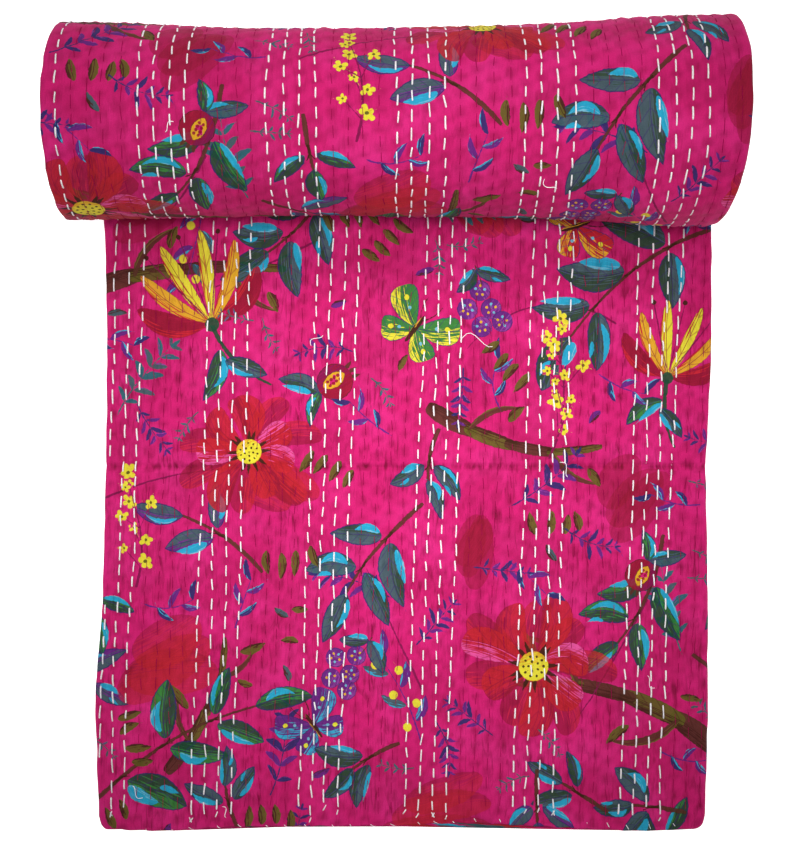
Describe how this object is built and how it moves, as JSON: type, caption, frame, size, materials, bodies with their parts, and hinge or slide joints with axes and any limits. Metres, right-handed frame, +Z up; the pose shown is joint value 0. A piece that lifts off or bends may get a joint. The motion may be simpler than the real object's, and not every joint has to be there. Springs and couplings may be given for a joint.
{
  "type": "kantha quilt",
  "caption": "Printed cotton quilt with rows of running stitch, folded lengthwise and rolled from its far end, the loose end lying flat.",
  "frame": {"origin": "on the surface, below the middle of the quilt's outline", "axes": "+Y from the hem of the loose end to the roll, +Z up, +X along the roll, so that the loose end points to the viewer"},
  "size_m": [0.5836, 0.7302, 0.1818],
  "materials": {
    "cotton": "printed plain-weave cotton, hand quilted, deep pink with leaves and flowers",
    "thread": "thick soft cotton sewing thread, white or pink"
  },
  "bodies": {
    "root": {"quilt": "cotton"}
  },
  "joints": []
}
